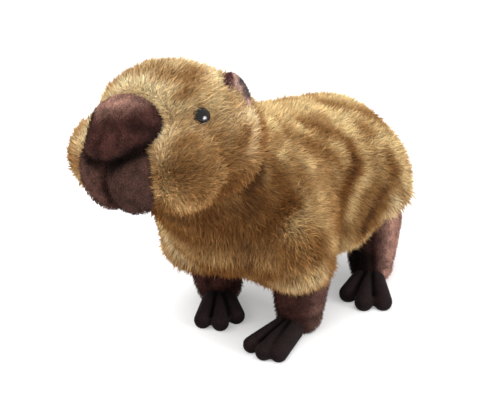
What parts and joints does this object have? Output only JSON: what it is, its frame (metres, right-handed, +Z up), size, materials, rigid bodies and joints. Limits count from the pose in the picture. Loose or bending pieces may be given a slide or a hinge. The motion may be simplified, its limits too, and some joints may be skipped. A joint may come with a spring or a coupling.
{
  "type": "plush toy capybara",
  "caption": "Stuffed plush toy capybara standing on its feet, with a shaggy golden-brown coat, a short-pile muzzle, ears and legs, and dark toed paws.",
  "frame": {"origin": "on the floor under the middle of the bounding box", "axes": "+Z up; the animal faces -Y, so +Y is its long axis towards the rump; +X is its left side"},
  "size_m": [0.145, 0.2898, 0.2137],
  "materials": {
    "coat": "shaggy mottled golden-brown pile",
    "pile": "short dense mauve-brown pile",
    "ear": "short dense grey-brown pile, darker inside",
    "sole": "felt-like near-black pile",
    "eye": "polished black"
  },
  "bodies": {
    "root": {"torso": "coat", "head": "coat", "nose": "pile", "chin_left": "pile", "chin_right": "pile", "eye_left": "eye", "eye_right": "eye", "ear_left": "ear", "ear_right": "ear", "leg_front_left": "pile", "leg_front_right": "pile", "leg_hind_left": "pile", "leg_hind_right": "pile", "paw_front_left": "sole", "paw_front_right": "sole", "paw_hind_left": "sole", "paw_hind_right": "sole"}
  },
  "joints": []
}
